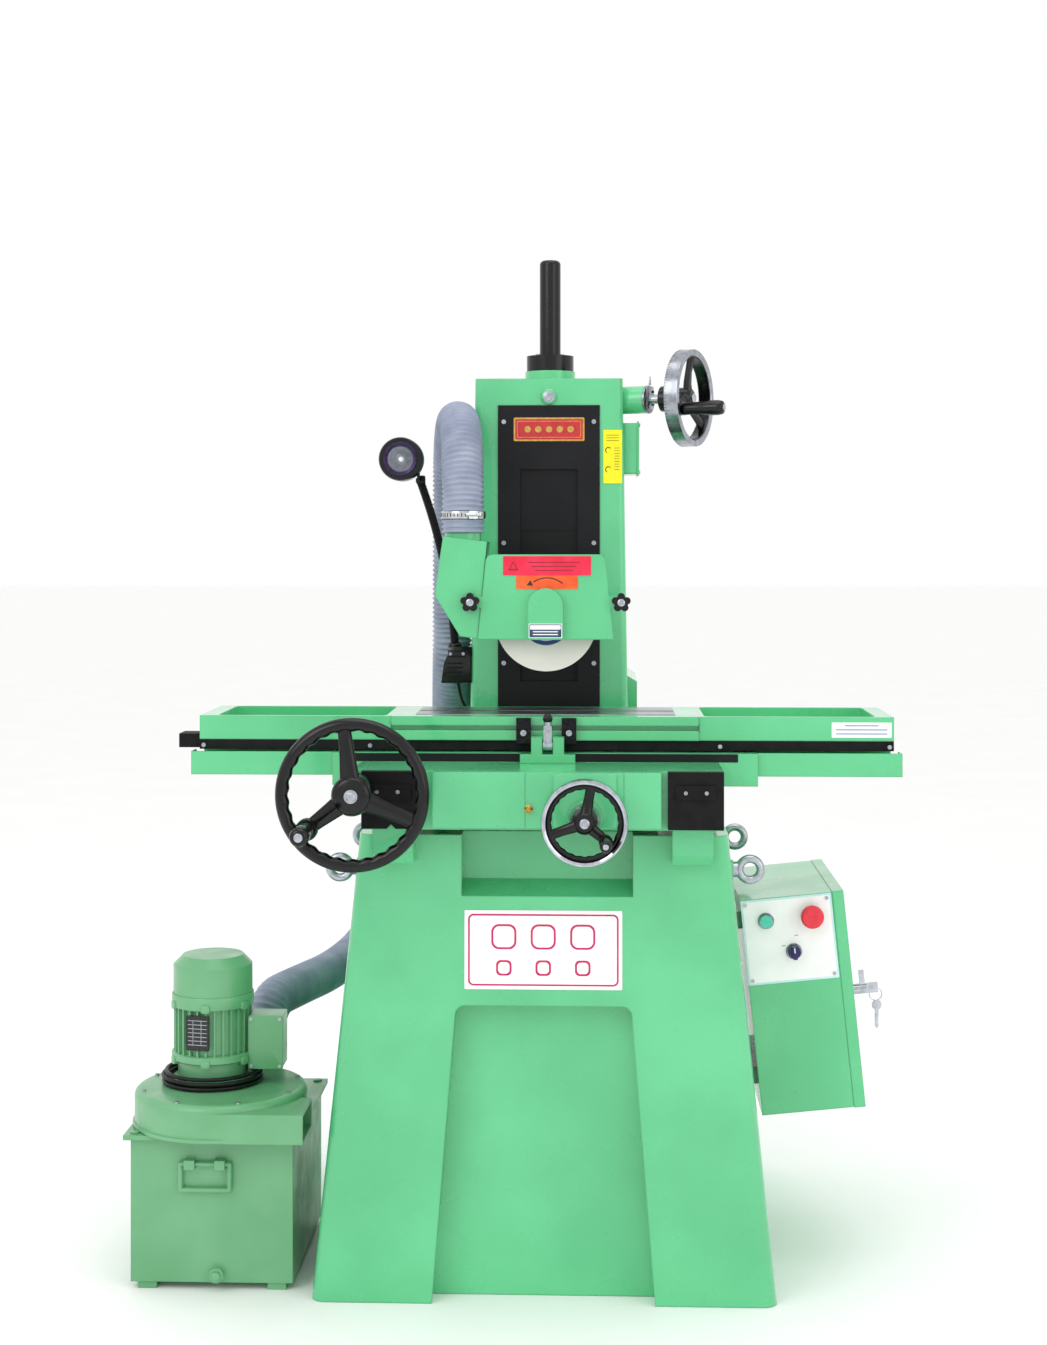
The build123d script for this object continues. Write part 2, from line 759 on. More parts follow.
def wheel_guard():
    front = COVER_FRONT + COVER_SHEET
    shell = prism_y(inset(TRAPEZOID, 2), front, SNOUT_FRONT)
    hollow = [(x, z - 1 if z == GUARD_BOTTOM else z) for x, z in inset(TRAPEZOID, 2 + GUARD_WALL)]
    shell -= prism_y(hollow, front - 1, SNOUT_FRONT - GUARD_WALL)
    shell -= rod_y(*SPINDLE, SNOUT_FRONT - GUARD_WALL - 1, SNOUT_FRONT + 1, SPINDLE_R + 6)
    shell -= dust_window()
    lug = rod_y(KNOB_X, KNOB_Z, front + GAP, front + 22, EAR_R) + block(
        GUARD_TOP_HALF, KNOB_X, front + GAP, front + 22, KNOB_Z - EAR_R, KNOB_Z + EAR_R
    )
    shell += lug - prism_y(inset(TRAPEZOID, 3), front, SNOUT_FRONT)
    return shell - rod_y(KNOB_X, KNOB_Z, front - 1, front + 23, STUD_R + 0.5)


def guard_cover():
    plate = prism_y(TRAPEZOID, COVER_FRONT, COVER_FRONT + COVER_SHEET)
    corner = plate.edges().filter_by(Axis.Y).group_by(Axis.Z)[-1]
    plate = fillet(corner, 14)
    for sx in (-1, 1):
        x0, x1 = sorted((sx * (GUARD_TOP_HALF - 4), sx * KNOB_X))
        ear = block(x0, x1, COVER_FRONT, COVER_FRONT + COVER_SHEET, KNOB_Z - EAR_R, KNOB_Z + EAR_R)
        ear += rod_y(sx * KNOB_X, KNOB_Z, COVER_FRONT, COVER_FRONT + COVER_SHEET, EAR_R)
        plate += ear
        plate -= rod_y(sx * KNOB_X, KNOB_Z, COVER_FRONT - 1, COVER_FRONT + COVER_SHEET + 1, STUD_R + RUN)
    plate += bulge(0, 0)
    return plate - bulge(COVER_SHEET, 1)


def bulge(grow, through):
    """The arched bump over the wheel nut, or its hollow when taken in."""
    half = BULGE_HALF - grow
    front = COVER_FRONT - BULGE_DEPTH + grow
    back = COVER_FRONT + COVER_SHEET + through
    return rod_y(0, BULGE_Z, front, back, half) + block(
        -half, half, front, back, BULGE_LOW + grow - BULGE_HALF, BULGE_Z
    )


def star_knob(sx):
    """A five-lobed knob with its stud, which stays on the guard cover."""
    knob = rod_y(0, 0, -KNOB_DEPTH, 0, KNOB_R * 0.72)
    for k in range(5):
        a = math.radians(90 + 72 * k)
        knob += rod_y(KNOB_R * 0.62 * math.cos(a), KNOB_R * 0.62 * math.sin(a), -KNOB_DEPTH, 0, KNOB_R * 0.38)
    knob += rod_y(0, 0, -1, COVER_SHEET + 14, STUD_R)
    return Pos(sx * KNOB_X, COVER_FRONT - GAP, KNOB_Z) * knob


def duct_outline(grow):
    """The duct's outline in X and Z beside the guard's slanting side."""
    side = GUARD_TOP_HALF - 1
    foot = GUARD_BOTTOM_HALF - 1
    return [
        (-side - grow, GUARD_TOP + 22 - grow),
        (-180 + grow, GUARD_TOP + 32 - grow),
        (-187.5 + grow, GUARD_TOP - 17),
        (-194 + grow, GUARD_BOTTOM + 76),
        (-150 + grow * 0.6, GUARD_BOTTOM + 5 + grow),
        (-foot - 1 - grow, GUARD_BOTTOM + 1 + grow),
    ]


def dust_duct():
    front = COVER_FRONT + COVER_SHEET + GAP
    body = prism_y(duct_outline(0), front, DUCT_BACK)
    body -= prism_y(duct_outline(DUCT_WALL), front + DUCT_WALL, DUCT_BACK - DUCT_WALL)
    body += rod_z(SPIGOT_X, SPIGOT_Y, GUARD_TOP + 24, HOSE_UP[0][2], SPIGOT_R)
    body -= rod_z(SPIGOT_X, SPIGOT_Y, GUARD_TOP + 10, HOSE_UP[0][2] + 1, SPIGOT_R - DUCT_WALL)
    body -= dust_window()
    return body - rod_y(-KNOB_X, KNOB_Z, front - 1, front + 20, STUD_R + 0.5)


# ---------------------------------------------------------------- saddle


def saddle_casting():
    bottom = BASE_HEIGHT + WAY_RISE + GAP
    body = block(-SADDLE_HALF, SADDLE_HALF, SADDLE_FRONT, SADDLE_BACK, bottom, LEDGE_Z)
    body += block(APRON_X0, APRON_X1, APRON_FRONT, SADDLE_FRONT, APRON_Z0, LEDGE_Z)
    body += block(-CARRIER_HALF, CARRIER_HALF, CARRIER_FRONT, SADDLE_BACK, CARRIER_Z, CARRIER_TOP)
    body -= block(-CAVITY_HALF, CAVITY_HALF, SADDLE_FRONT + 12, SADDLE_BACK - 12, bottom - 1, CAVITY_TOP)
    body += rod_y(TW_X, TW_Z, SADDLE_FRONT + 1, TROUGH_Y1 + 14, TW_BOSS_R)
    body -= vee(-WAY_X, bottom - GAP, GAP, SADDLE_FRONT - 1, SADDLE_BACK + 1)
    body -= vee_table(WAY_V_Y, CARRIER_TOP, GAP, -CARRIER_HALF - 1, CARRIER_HALF + 1)
    body -= block(-CARRIER_HALF - 1, CARRIER_HALF + 1, TROUGH_Y0, TROUGH_Y1, TROUGH_Z, CARRIER_TOP + 1)
    body -= rod_y(TW_X, TW_Z, TROUGH_Y0, TROUGH_Y1, pinion_tip() + 2.5)
    body -= rod_y(TW_X, TW_Z, SADDLE_FRONT - 1, TROUGH_Y0 + 1, TW_SHAFT_R + RUN)
    body += rod_y(CW_X, CW_Z, CW_FLANGE_FRONT, APRON_FRONT, CW_FLANGE_R) & block(
        APRON_X0, APRON_X1, CW_FLANGE_FRONT, APRON_FRONT, APRON_Z0, LEDGE_Z
    )
    return body - rod_y(CW_X, CW_Z, CW_FLANGE_FRONT - 1, SADDLE_FRONT + 13, CW_SCREW_R + RUN)


def way_wipers():
    """Rubber covers over the ends of the cross ways, each held by a clamp strip."""
    pieces = []
    for sx in (-1, 1):
        x0, x1 = sorted((sx * WIPER_X0, sx * WIPER_X1))
        bottom = BASE_HEIGHT + WAY_RISE + 4
        rubber = block(x0, x1, APRON_FRONT, SADDLE_FRONT, bottom, LEDGE_Z)
        rubber -= rod_y(TW_X, TW_Z, APRON_FRONT - 1, SADDLE_FRONT + 1, TW_SHAFT_R + 3)
        rubber -= vee(-WAY_X, BASE_HEIGHT + WAY_RISE, 1, APRON_FRONT - 1, SADDLE_FRONT + 1)
        middle = sx * (WIPER_X0 + WIPER_X1) / 2 - (4 if sx < 0 else 0) * sx
        strip = block(
            middle - CLAMP_HALF, middle + CLAMP_HALF, APRON_FRONT - CLAMP_THICK, APRON_FRONT, CLAMP_Z0, CLAMP_Z1
        )
        strip -= rod_y(TW_X, TW_Z, APRON_FRONT - 9, SADDLE_FRONT + 1, TW_SHAFT_R + 3)
        pieces += [rubber.solid(), strip.solid()]
    return Compound(children=pieces)


def drip_tray():
    """Two trough wings on the ends of the saddle, notched for the rack to pass."""
    wings = []
    for sx in (-1, 1):
        x0, x1 = sorted((sx * CARRIER_HALF, sx * TRAY_END))
        wing = block(x0, x1, TRAY_FRONT, SADDLE_BACK, TRAY_Z, CARRIER_TOP)
        inner_x0, inner_x1 = sorted((sx * (CARRIER_HALF - 1), sx * (TRAY_END - TRAY_WALL)))
        wing -= block(
            inner_x0, inner_x1, TRAY_FRONT + TRAY_WALL, SADDLE_BACK - TRAY_WALL, TRAY_Z + TRAY_WALL, CARRIER_TOP + 1
        )
        end0, end1 = sorted((sx * (TRAY_END - TRAY_WALL - 1), sx * (TRAY_END + 1)))
        wing -= block(end0, end1, WAY_V_Y - 20, TROUGH_Y1 + 2, TRAY_Z + TRAY_WALL, CARRIER_TOP + 1)
        wings.append(wing.solid())
    return Compound(children=wings)


def stop_bracket():
    x = STOP_X
    back = CARRIER_FRONT
    front = STOP_PIVOT_Y - 11
    body = block(x - 47, x + 47, front, back, LEDGE_Z, CARRIER_TOP)
    for sx in (-1, 1):
        x0, x1 = sorted((x + sx * 9, x + sx * 28))
        body += block(x0, x1, front, STOP_PIVOT_Y + 12, CARRIER_TOP, STOP_PIVOT_Z + 16)
    pin = rod_x(STOP_PIVOT_Y, STOP_PIVOT_Z, x - 27, x + 27, 3)
    return body + pin


def stop_lever():
    x = STOP_X
    body = rod_x(STOP_PIVOT_Y, STOP_PIVOT_Z, x - 8, x + 8, 8)
    body += block(x - 7, x + 7, STOP_PIVOT_Y - 7, STOP_PIVOT_Y + 6, STOP_PIVOT_Z, STOP_TOP)
    body += rod_z(x, STOP_PIVOT_Y, STOP_TOP, STOP_TOP + 12, 6)
    return body - rod_x(STOP_PIVOT_Y, STOP_PIVOT_Z, x - 9, x + 9, 3 + RUN)


# ---------------------------------------------------------------- table


def table_casting():
    body = block(-TABLE_HALF, TABLE_HALF, TABLE_FRONT, TABLE_BACK, FRONT_WALL_Z, TABLE_TOP)
    body += block(-TABLE_HALF, TABLE_HALF, TABLE_FRONT + 8, TABLE_BACK - 8, TABLE_Z, FRONT_WALL_Z)
    body += block(-CENTRE_HALF, CENTRE_HALF, TABLE_FRONT - CENTRE_PROUD, TABLE_FRONT, FRONT_WALL_Z, TABLE_TOP)
    for sx in (-1, 1):
        x0, x1 = sorted((sx * (CENTRE_HALF + 10), sx * (TABLE_HALF - RIM)))
        well = block(x0, x1, TABLE_FRONT + 8, TABLE_BACK - 8, POCKET_FLOOR, TABLE_TOP + 1)
        body -= fillet(well.edges().filter_by(Axis.Z), 12)
    body -= block(
        -PLATE_HALF, PLATE_HALF, PLATE_Y0, PLATE_Y0 + PLATE_DEPTH, PLATE_TOP - PLATE_THICK, TABLE_TOP + 1
    )
    front = TABLE_FRONT - CENTRE_PROUD
    body -= block(-CENTRE_HALF - 1, CENTRE_HALF + 1, front - 1, front + 6, GROOVE_Z - 4, GROOVE_Z + 4)
    body -= block(-CENTRE_HALF - 1, CENTRE_HALF + 1, front + 5, front + 12, GROOVE_Z - 8, GROOVE_Z + 8)
    body += vee_table(WAY_V_Y, TABLE_Z, 0, -TABLE_HALF, TABLE_HALF)
    flat = CARRIER_TOP + GAP
    body += block(-TABLE_HALF, TABLE_HALF, WAY_FLAT_Y - 15, WAY_FLAT_Y + 15, flat, TABLE_Z)
    return body


def work_plate():
    y0 = PLATE_Y0
    y1 = PLATE_Y0 + PLATE_DEPTH
    bottom = PLATE_TOP - PLATE_THICK
    middle = (y0 + y1) / 2
    body = block(-PLATE_HALF, PLATE_HALF, y0, y1, bottom, PLATE_TOP)
    body -= block(-PLATE_HALF - 1, PLATE_HALF + 1, middle - TSLOT_HALF, middle + TSLOT_HALF, bottom + 3, PLATE_TOP + 1)
    body -= block(
        -PLATE_HALF - 1, PLATE_HALF + 1, middle - TSLOT_WIDE, middle + TSLOT_WIDE, bottom + 3, bottom + 9
    )
    return body


def table_wiper_strip():
    strip = block(-TABLE_HALF, TABLE_HALF, TABLE_FRONT, TABLE_FRONT + 8, TABLE_Z, FRONT_WALL_Z)
    end = block(-TABLE_HALF - 41, -TABLE_HALF, -275, -225, TABLE_Z, TABLE_Z + 24)
    return Compound(children=[strip.solid(), end.solid()])


def module():
    return RACK_PITCH / math.pi


def pinion_tip():
    return RACK_PITCH * PINION_TEETH / (2 * math.pi) + module()


def table_rack():
    pitch_z = TW_Z + RACK_PITCH * PINION_TEETH / (2 * math.pi)
    root = pitch_z + 1.25 * module()
    tip = pitch_z - module() + 0.1
    points = [(RACK_X0, TABLE_Z), (RACK_X0, root)]
    first = math.ceil((RACK_X0 + RACK_PITCH - TW_X) / RACK_PITCH)
    for k in range(first, first + RACK_TEETH - 2):
        x = TW_X + k * RACK_PITCH
        wide = 0.21 * RACK_PITCH + (root - pitch_z) * math.tan(math.radians(20))
        thin = 0.21 * RACK_PITCH - (pitch_z - tip) * math.tan(math.radians(20))
        points += [(x - wide, root), (x - thin, tip), (x + thin, tip), (x + wide, root)]
    end = RACK_X0 + RACK_TEETH * RACK_PITCH
    points += [(end, root), (end, TABLE_Z)]
    middle = (TROUGH_Y0 + TROUGH_Y1) / 2
    return prism_y(points, middle - RACK_WIDTH / 2, middle + RACK_WIDTH / 2)


def pinion_outline():
    """Straight-flanked teeth with a gap facing up, thin enough to run with backlash."""
    pitch_r = RACK_PITCH * PINION_TEETH / (2 * math.pi)
    root_r = pitch_r - 1.25 * module()
    points = []
    for k in range(PINION_TEETH):
        middle = 90 + 180 / PINION_TEETH + k * 360 / PINION_TEETH
        for r, half in ((root_r, 1.55), (pitch_r + module() - 0.1, 0.5), (pitch_r + module() - 0.1, -0.5), (root_r, -1.55)):
            a = math.radians(middle) - half / r
            points.append((r * math.cos(a), r * math.sin(a)))
    return points


def table_handwheel_shaft():
    middle = (TROUGH_Y0 + TROUGH_Y1) / 2
    pinion = Pos(TW_X, 0, TW_Z) * prism_y(pinion_outline(), middle - 14, middle + 14)
    return pinion + rod_y(TW_X, TW_Z, TW_HUB_FRONT + 4, middle + 15, TW_SHAFT_R)


def dog(x):
    front = TABLE_FRONT - CENTRE_PROUD
    half = DOG_WIDTH / 2
    body = block(x - half, x + half, front - 12, front - GAP, TABLE_TOP - 45, TABLE_TOP - 2)
    body += block(x - half, x + half, front - GAP, front + 7, GROOVE_Z - 3.7, GROOVE_Z + 3.7)
    return body + block(x - half, x + half, front + 6.3, front + 11.5, GROOVE_Z - 7.6, GROOVE_Z + 7.6)


def at_angle(x, z, r, angle):
    return x + r * math.cos(math.radians(angle)), z + r * math.sin(math.radians(angle))


def spoke(x, z, angle, inner, outer, y0, y1, half0, half1):
    """A tapered spoke from the hub to the rim."""
    outline = [(inner, -half0), (outer, -half1), (outer, half1), (inner, half0)]
    return Pos(x, 0, z) * Rot(0, -angle, 0) * prism_y(outline, y0, y1)


def table_handwheel():
    rim = Pos(TW_X, TW_Y, TW_Z) * Rot(90, 0, 0) * Torus(TW_R - TW_RIM_R, TW_RIM_R)
    wheel = rim + rod_y(TW_X, TW_Z, TW_HUB_FRONT, TW_HUB_BACK, TW_HUB_R)
    for k in range(3):
        angle = TW_SPOKE_ANGLE + 120 * k
        wheel += spoke(TW_X, TW_Z, angle, TW_HUB_R - 6, TW_R - TW_RIM_R, TW_Y - 9, TW_Y + 6, 14, 9)
    x, z = at_angle(TW_X, TW_Z, TW_GRIP_AT, TW_SPOKE_ANGLE)
    foot = TW_Y - 16
    wheel += rod_y(x, z, foot, TW_Y, 17)
    wheel += rod_y(x, z, foot - TW_GRIP_LENGTH + 10, foot, GRIP_STUD_R)
    return wheel - rod_y(TW_X, TW_Z, TW_HUB_FRONT + 4, TW_HUB_BACK + 1, TW_SHAFT_R)


def front_grip(x, z, y, r, length):
    return Pos(x, y - GAP, z) * Rot(90, 0, 0) * revolving_grip(r, length)


def table_handwheel_grip():
    x, z = at_angle(TW_X, TW_Z, TW_GRIP_AT, TW_SPOKE_ANGLE)
    return front_grip(x, z, TW_Y - 16, TW_GRIP_R, TW_GRIP_LENGTH)


def cross_handwheel():
    wheel = rod_y(CW_X, CW_Z, CW_FRONT, CW_BACK, CW_R) - rod_y(CW_X, CW_Z, CW_FRONT - 1, CW_BACK + 1, CW_R - CW_RING)
    wheel += rod_y(CW_X, CW_Z, CW_FRONT, CW_FLANGE_FRONT - 1, CW_HUB_R)
    for k in range(3):
        angle = CW_SPOKE_ANGLE + 120 * k
        wheel += spoke(CW_X, CW_Z, angle, CW_HUB_R - 3, CW_R - CW_RING + 1, CW_FRONT + 6, CW_FRONT + 17, 9, 7)
    x, z = at_angle(CW_X, CW_Z, CW_GRIP_AT, CW_SPOKE_ANGLE)
    wheel += rod_y(x, z, CW_FRONT - 4, CW_FRONT + 10, 11)
    wheel += rod_y(x, z, CW_FRONT - 4 - CW_GRIP_LENGTH + 10, CW_FRONT - 4, GRIP_STUD_R)
    return wheel - rod_y(CW_X, CW_Z, CW_FRONT + 6, CW_FLANGE_FRONT, CW_SCREW_R)


def cross_handwheel_grip():
    x, z = at_angle(CW_X, CW_Z, CW_GRIP_AT, CW_SPOKE_ANGLE)
    return front_grip(x, z, CW_FRONT - 4, CW_GRIP_R, CW_GRIP_LENGTH)


def cross_feed_screw():
    return rod_y(CW_X, CW_Z, CW_FRONT + 6, CW_SCREW_BACK, CW_SCREW_R)


def cross_feed_nut():
    body = block(
        CW_X - CROSS_NUT_HALF, CW_X + CROSS_NUT_HALF, CROSS_NUT_Y0, CROSS_NUT_Y1, BASE_HEIGHT, CW_Z + CROSS_NUT_HALF
    )
    return body - rod_y(CW_X, CW_Z, CROSS_NUT_Y0 - 1, CROSS_NUT_Y1 + 1, CW_SCREW_R + RUN)


# ---------------------------------------------------------------- electric cabinet


def electric_cabinet():
    body = block(CAB_U0, CAB_U1, CAB_FRONT, CAB_BACK, -CAB_HALF_V, CAB_HALF_V)
    body -= block(
        CAB_U0 + CAB_WALL,
        CAB_U1 + 1,
        CAB_FRONT + CAB_WALL,
        CAB_BACK - CAB_WALL,
        -CAB_HALF_V + CAB_WALL,
        CAB_HALF_V - CAB_WALL,
    )
    for v in (-CAB_HALF_V + 40, CAB_HALF_V - 60):
        body += block(0, CAB_U0, CAB_FRONT + 60, CAB_BACK - 60, v, v + 30)
    holes = ((START_U, START_V), (STOP_U, STOP_V), (SELECT_U, SELECT_V))
    for u, v in holes:
        body -= rod_y(u, v, CAB_FRONT - 1, CAB_FRONT + CAB_WALL + 1, BUTTON_HOLE_R + RUN)
    for v in HINGE_V:
        middle = v + HINGE_LENGTH / 2
        body += rod_z(HINGE_U, HINGE_Y, v, middle - GAP, HINGE_R)
        body += block(HINGE_U - 25, HINGE_U - 11, CAB_BACK, CAB_BACK + 3, v, middle - GAP)
        body += block(HINGE_U - 25, HINGE_U, CAB_BACK + 2 * GAP, CAB_BACK + 3.6, v, middle - GAP)
        body += rod_z(HINGE_U, HINGE_Y, v, v + HINGE_LENGTH, HINGE_PIN_R)
    return CABINET * body


def cabinet_door():
    lip = 16
    y0 = CAB_FRONT - GAP
    y1 = CAB_BACK + GAP
    door = block(CAB_U1 + GAP, CAB_DOOR_U, y0, y1, -CAB_HALF_V - 1, CAB_HALF_V + 1)
    door -= block(
        CAB_U1, CAB_DOOR_U - CAB_WALL, y0 + CAB_WALL, y1 - CAB_WALL, -CAB_HALF_V - 1 + CAB_WALL, CAB_HALF_V + 1 - CAB_WALL
    )
    door -= rod_x(LOCK_Y, LOCK_V, CAB_DOOR_U - lip, CAB_DOOR_U + 1, LOCK_R + RUN)
    for v in HINGE_V:
        middle = v + HINGE_LENGTH / 2
        door += rod_z(HINGE_U, HINGE_Y, middle, v + HINGE_LENGTH, HINGE_R)
        door += block(HINGE_U - 2.5, HINGE_U + 2.5, y1 - CAB_WALL, HINGE_Y, middle, v + HINGE_LENGTH)
        door -= rod_z(HINGE_U, HINGE_Y, middle - 1, v + HINGE_LENGTH + 1, HINGE_PIN_R + RUN)
    return CABINET * door


def cabinet_lock():
    """The door's lock barrel with its wing, its cam inside and the key in it."""
    lock = rod_x(LOCK_Y, LOCK_V, CAB_DOOR_U - 12, CAB_DOOR_U, LOCK_R)
    lock += rod_x(LOCK_Y, LOCK_V, CAB_DOOR_U + GAP, CAB_DOOR_U + 26, LOCK_R + 1)
    lock += rod_x(LOCK_Y, LOCK_V, CAB_DOOR_U - 1, CAB_DOOR_U + 1, LOCK_R)
    lock += block(CAB_DOOR_U + 15, CAB_DOOR_U + 24, LOCK_Y - 4, LOCK_Y + 4, LOCK_V, LOCK_V + 32)
    lock += block(CAB_DOOR_U - 10, CAB_DOOR_U - 7, LOCK_Y - 6, LOCK_Y + 22, LOCK_V - 6, LOCK_V + 6)
    lock += block(CAB_DOOR_U + 26, CAB_DOOR_U + 46, LOCK_Y - 1.2, LOCK_Y + 1.2, LOCK_V - 9, LOCK_V + 9)
    return CABINET * lock


def start_button():
    button = rod_y(START_U, START_V, CAB_FRONT - 12, CAB_FRONT - 6, BUTTON_R)
    return CABINET * (button + rod_y(START_U, START_V, CAB_FRONT - 7, CAB_FRONT + 18, BUTTON_HOLE_R))


def stop_button():
    button = rod_y(STOP_U, STOP_V, CAB_FRONT - 30, CAB_FRONT - 18, MUSHROOM_R)
    button = fillet(button.edges().group_by(Axis.Y)[0], 5)
    return CABINET * (button + rod_y(STOP_U, STOP_V, CAB_FRONT - 19, CAB_FRONT + 18, BUTTON_HOLE_R))


def selector_switch():
    knob = rod_y(SELECT_U, SELECT_V, CAB_FRONT - 14, CAB_FRONT - GAP, BUTTON_R)
    knob += block(SELECT_U - 3.5, SELECT_U + 3.5, CAB_FRONT - 24, CAB_FRONT - 10, SELECT_V - 11, SELECT_V + 11)
    return CABINET * (knob + rod_y(SELECT_U, SELECT_V, CAB_FRONT - 1, CAB_FRONT + 18, BUTTON_HOLE_R))


# ---------------------------------------------------------------- lamp


def lamp_arm():
    """The gooseneck and, as a second solid, its socket on the column's left wall."""
    x, y, z = LAMP_SOCKET
    low = z - LAMP_SOCKET_HALF
    high = z + LAMP_SOCKET_HALF
    wall = -column_side(low)
    outline = [(wall - 55, low), (wall, low), (-column_side(high), high), (wall - 36, high), (wall - 50, z + 4)]
    socket = prism_y(outline, y - 27, y + 27)
    socket -= rod_z(LAMP_ROUTE[0][0], LAMP_ROUTE[0][1], LAMP_ROUTE[0][2], high + 2, LAMP_ARM_R + 1)
    arm = bent_tube("lamp_arm", LAMP_ROUTE, LAMP_ARM_R)
    px, py, pz = LAMP_PIVOT
    arm += rod_x(py, pz, px + GAP, px + 9, 9)
    arm += rod_x(py, pz, px - 6, px + 2, 3)
    arm -= rod_x(py, pz, px - 20, px + GAP, 12) - rod_x(py, pz, px - 6, px + 2, 3)
    return Compound(children=[arm.solid(), socket.solid()])


def lamp_head():
    """The lamp's cup, open to the front, with the lug that it tilts on."""
    body = rod_y(LAMP_X, LAMP_Z, LAMP_FRONT, LAMP_BACK, LAMP_R)
    body += rod_y(LAMP_X, LAMP_Z, LAMP_BACK, LAMP_BACK + 22, LAMP_R - 16)
    px, py, pz = LAMP_PIVOT
    lug = rod_x(py, pz, px - 5, px, 8)
    lug += prism_x([(py - 8, pz), (py + 8, pz), (py + 3, pz + 30), (py - 8, pz + 30)], px - 5, px)
    body += lug
    body -= rod_y(LAMP_X, LAMP_Z, LAMP_FRONT - 1, LAMP_FRONT + 30, LAMP_R - 12)
    return body - rod_x(py, pz, px - 7, px + 1, 3 + RUN)


# ---------------------------------------------------------------- dust collector


def collector_tank():
    body = block(BOX_X0, BOX_X1, BOX_Y0, BOX_Y1, BOX_Z0, BOX_TOP)
    body -= block(BOX_X0 + BOX_WALL, BOX_X1 - BOX_WALL, BOX_Y0 + BOX_WALL, BOX_Y1 - BOX_WALL, BOX_Z0 + BOX_WALL, BOX_TOP + 1)
    for x in (BOX_X0 + 28, BOX_X1 - 28):
        body += block(x - 16, x + 16, BOX_Y0 + 4, BOX_Y1 - 4, 0, BOX_Z0)
    body += rod_y((BOX_X0 + BOX_X1) / 2 + 10, BOX_Z0 + 16, BOX_Y0 - 12, BOX_Y0, 11)
    for sx in (-1, 1):
        x = BAIL_X + sx * (BAIL_HALF - 16)
        lug = block(x - 9, x + 9, BOX_Y0 - 2 * BAIL_WIRE_R - 8, BOX_Y0, BAIL_Z - 8, BAIL_Z + 8)
        body += lug - rod_x(bail_y(), BAIL_Z, x - 10, x + 10, BAIL_WIRE_R + 0.1)
    return body


def bail_y():
    return BOX_Y0 - BAIL_WIRE_R - 4


def bail_handle():
    """A wire bail that hangs from its two lugs, with its ends turned in."""
    y = bail_y()
    foot = BAIL_Z - BAIL_DROP
    bail = rod_x(y, BAIL_Z, BAIL_X - BAIL_HALF, BAIL_X + BAIL_HALF, BAIL_WIRE_R)
    bail += rod_x(y, foot, BAIL_X - BAIL_HALF, BAIL_X + BAIL_HALF, BAIL_WIRE_R)
    for sx in (-1, 1):
        x = BAIL_X + sx * BAIL_HALF
        bail += rod_z(x, y, foot, BAIL_Z, BAIL_WIRE_R)
        for z in (foot, BAIL_Z):
            bail += Pos(x, y, z) * Sphere(BAIL_WIRE_R)
    return bail


def collector_lid():
    over = LID_OVER
    body = block(BOX_X0 - over, BOX_X1 + over, BOX_Y0 - over, BOX_Y1 + over, BOX_TOP, BOX_TOP + LID_THICK)
    body -= rod_z(VOLUTE_X, VOLUTE_Y, BOX_TOP - 1, BOX_TOP + LID_THICK + 1, VOLUTE_R * 0.4)
    inlet = HOSE_DOWN[-1]
    body += rod_z(inlet[0], inlet[1], BOX_TOP + LID_THICK, inlet[2], SPIGOT_R)
    return body - rod_z(inlet[0], inlet[1], BOX_TOP - 1, inlet[2] + 1, SPIGOT_R - 3)


def collector_volute():
    z0 = BOX_TOP + LID_THICK
    body = rod_z(VOLUTE_X, VOLUTE_Y, z0, z0 + VOLUTE_H, VOLUTE_R)
    body = fillet(body.edges().group_by(Axis.Z)[-1], 12)
    body += block(VOLUTE_X, VOLUTE_X + VOLUTE_R + 14, VOLUTE_Y - VOLUTE_R, VOLUTE_Y - 40, z0, z0 + VOLUTE_H - 12)
    w = VOLUTE_WALL
    body -= rod_z(VOLUTE_X, VOLUTE_Y, z0 - 1, z0 + VOLUTE_H - w, VOLUTE_R - w)
    body -= block(
        VOLUTE_X, VOLUTE_X + VOLUTE_R + 15, VOLUTE_Y - VOLUTE_R + w, VOLUTE_Y - 40 - w, z0 + w, z0 + VOLUTE_H - 12 - w
    )
    return body - rod_z(MOTOR2_X, MOTOR2_Y, z0 + VOLUTE_H - w - 1, z0 + VOLUTE_H + 1, 24)


def motor_foot():
    return BOX_TOP + LID_THICK + VOLUTE_H


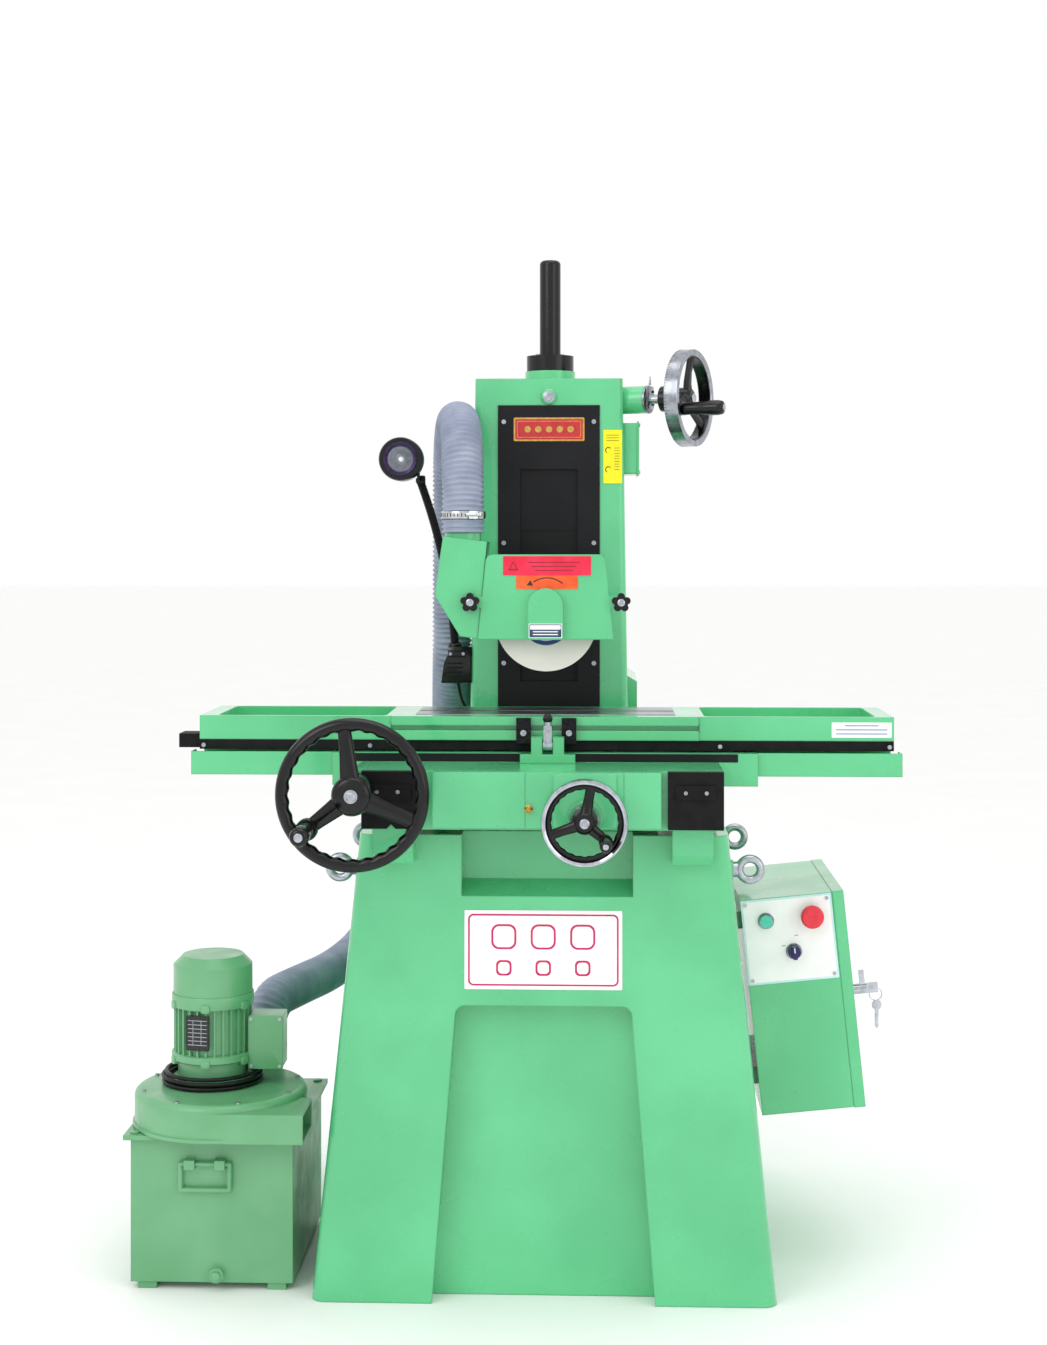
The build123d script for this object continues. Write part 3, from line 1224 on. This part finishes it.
def collector_motor():
    """The motor frame with the fan cowl and the terminal box as further solids."""
    z0 = motor_foot()
    body = rod_z(MOTOR2_X, MOTOR2_Y, z0, z0 + 10, MOTOR2_R + 2)
    body += rod_z(MOTOR2_X, MOTOR2_Y, z0 + 10, MOTOR2_TOP, MOTOR2_R - 8)
    fins = 28
    for k in range(fins):
        fin = block(MOTOR2_R - 10, MOTOR2_R - 1, -1.6, 1.6, z0 + 46, MOTOR2_TOP - 4)
        body += Pos(MOTOR2_X, MOTOR2_Y, 0) * Rot(0, 0, 360 * k / fins) * fin
    body += rod_z(MOTOR2_X, MOTOR2_Y, MOTOR2_TOP - 5, MOTOR2_TOP, MOTOR2_R - 1)
    body -= rod_z(MOTOR2_X, MOTOR2_Y, z0 + 8, MOTOR2_TOP - 8, ROTOR_R + 1)
    body -= rod_z(MOTOR2_X, MOTOR2_Y, z0 - 1, MOTOR2_TOP + 1, 8 + RUN)
    cowl = rod_z(MOTOR2_X, MOTOR2_Y, MOTOR2_TOP, COWL_TOP, MOTOR2_R)
    cowl = chamfer(cowl.edges().group_by(Axis.Z)[-1], 16)
    cowl -= rod_z(MOTOR2_X, MOTOR2_Y, MOTOR2_TOP - 1, COWL_TOP - 20, MOTOR2_R - 3)
    side = MOTOR2_X + MOTOR2_R - 1
    box = block(side, side + 58, MOTOR2_Y - 22, MOTOR2_Y + 36, z0 + 28, z0 + 118)
    return Compound(children=[body.solid(), cowl.solid(), box.solid()])


def collector_rotor():
    """The motor's rotor and shaft with the suction fan below and the cooling fan above."""
    z0 = motor_foot()
    x, y = MOTOR2_X, MOTOR2_Y
    rotor = rod_z(x, y, z0 - VOLUTE_H + 14, MOTOR2_TOP + 34, 8)
    rotor += rod_z(x, y, z0 + 14, MOTOR2_TOP - 14, ROTOR_R)
    rotor += rod_z(x, y, z0 - VOLUTE_H + 12, z0 - VOLUTE_H + 16, FAN_R)
    for k in range(8):
        rotor += Pos(x, y, 0) * Rot(0, 0, 45 * k) * block(26, FAN_R, -1.5, 1.5, z0 - VOLUTE_H + 14, z0 - 12)
    rotor += rod_z(x, y, MOTOR2_TOP + 8, MOTOR2_TOP + 12, MOTOR2_R - 12)
    for k in range(6):
        rotor += Pos(x, y, 0) * Rot(0, 0, 60 * k) * block(10, MOTOR2_R - 12, -1.5, 1.5, MOTOR2_TOP + 11, MOTOR2_TOP + 32)
    return rotor


def motor_lead_coil():
    """The spare lead, wound loosely round the motor's foot."""
    z0 = motor_foot() + GAP
    ring = rod_z(MOTOR2_X, MOTOR2_Y, z0, z0 + COIL_H, COIL_R)
    return ring - rod_z(MOTOR2_X, MOTOR2_Y, z0 - 1, z0 + COIL_H + 1, COIL_INNER)


def save(name, shape):
    export_step(shape, f"parts/{name}.step")


def main():
    os.makedirs("parts", exist_ok=True)
    base = base_casting()
    for seat in eye_seats():
        base += seat
    save("base_casting", base)
    for build in (
        lifting_eyes,
        column_casting,
        column_front_cover,
        screw_top_cover,
        elevating_shaft_housing,
        elevating_nut_gear,
        elevating_shaft,
        elevating_handwheel,
        elevating_handwheel_grip,
        wheel_head_slide,
        elevating_screw,
        spindle_motor,
        spindle_shaft,
        wheel_flange,
        grinding_wheel,
        wheel_guard,
        guard_cover,
        dust_duct,
        saddle_casting,
        way_wipers,
        drip_tray,
        stop_bracket,
        stop_lever,
        table_casting,
        work_plate,
        table_wiper_strip,
        table_rack,
        table_handwheel,
        table_handwheel_shaft,
        table_handwheel_grip,
        cross_handwheel,
        cross_handwheel_grip,
        cross_feed_screw,
        cross_feed_nut,
        electric_cabinet,
        cabinet_door,
        cabinet_lock,
        start_button,
        stop_button,
        selector_switch,
        lamp_arm,
        lamp_head,
        collector_tank,
        bail_handle,
        collector_lid,
        collector_volute,
        collector_motor,
        collector_rotor,
        motor_lead_coil,
    ):
        save(build.__name__, build())
    save("slot_cover_upper", upper_leaf())
    save("slot_cover_main", main_leaf())
    save("guard_knob_left", star_knob(-1))
    save("guard_knob_right", star_knob(1))
    save("stop_dog_left", dog(-DOG_X))
    save("stop_dog_right", dog(DOG_X + STOP_X))
    save("suction_hose_upper", bent_tube("suction_hose_upper", HOSE_UP, HOSE_R))
    save("suction_hose_lower", bent_tube("suction_hose_lower", HOSE_DOWN, HOSE_R))
    save("lamp_cable", bent_tube("lamp_cable", LAMP_CABLE, LEAD_R - 0.5))
    save("motor_lead_tail", bent_tube("motor_lead_tail", LEAD, LEAD_R))


main()
